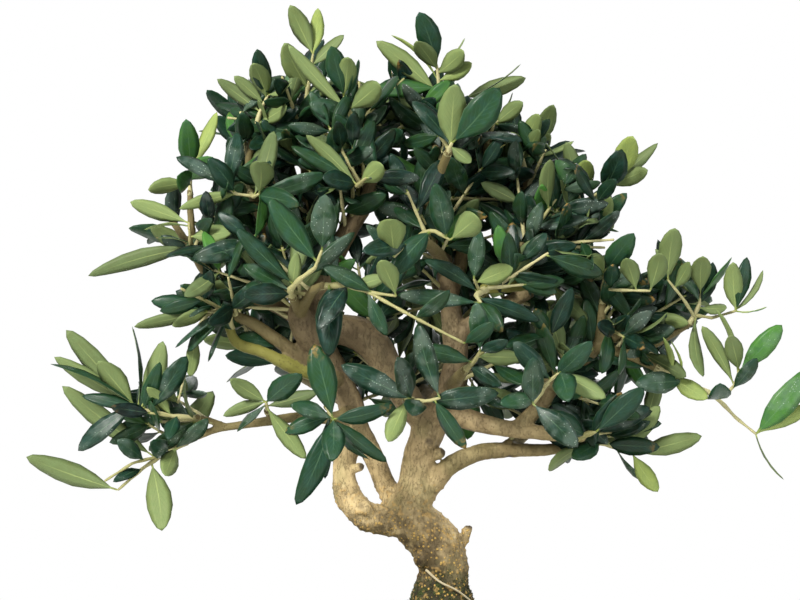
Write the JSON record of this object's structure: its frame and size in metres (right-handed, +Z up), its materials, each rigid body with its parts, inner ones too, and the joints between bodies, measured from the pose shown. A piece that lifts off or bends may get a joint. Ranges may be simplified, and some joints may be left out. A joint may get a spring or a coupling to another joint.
{
  "type": "olive bonsai",
  "caption": "Olive bonsai with a curved forked trunk, twisted limbs and a wide crown of leathery leaves, standing in a plain stoneware pot with mossy soil.",
  "frame": {"origin": "on the surface that the pot stands on, below the middle of the crown's box", "axes": "+X to the right of the front view, +Y to the back, +Z up"},
  "size_m": [0.4518, 0.2328, 0.4136],
  "materials": {
    "stoneware": "unglazed brown stoneware",
    "drain_mesh": "black plastic mesh",
    "soil": "dark granular planting soil",
    "moss": "dense low green moss",
    "bark": "tan bark with knots and small pale bumps",
    "leaf": "dark green leathery leaves, paler olive green beneath, on pale twigs"
  },
  "bodies": {
    "root": {"apex_left": "leaf", "apex_right": "leaf", "back_centre": "leaf", "back_far_left": "leaf", "back_far_right": "leaf", "back_left": "leaf", "back_left_high": "leaf", "back_low": "leaf", "back_low_left": "leaf", "back_low_right": "leaf", "back_right": "leaf", "back_right_high": "leaf", "back_top": "leaf", "crest": "leaf", "crown_centre": "leaf", "cut_stem_leaves": "leaf", "drain_screen_left": "drain_mesh", "drain_screen_right": "drain_mesh", "front_high": "leaf", "front_low": "leaf", "front_mid": "leaf", "front_right": "leaf", "front_rosette": "leaf", "front_stump_leaves": "leaf", "front_twig_leaves": "leaf", "high_front": "leaf", "left_high": "leaf", "left_inner": "leaf", "left_low": "leaf", "left_middle": "leaf", "left_silver": "leaf", "low_left_cluster": "leaf", "low_left_inner": "leaf", "low_left_tip": "leaf", "moss": "moss", "olive_stub_leaves": "leaf", "pot": "stoneware", "right_droop": "leaf", "right_far": "leaf", "right_inner": "leaf", "right_low": "leaf", "right_low_front": "leaf", "shoulder_left": "leaf", "shoulder_right": "leaf", "soil": "soil", "trunk": "bark", "upper_left": "leaf"}
  },
  "joints": []
}
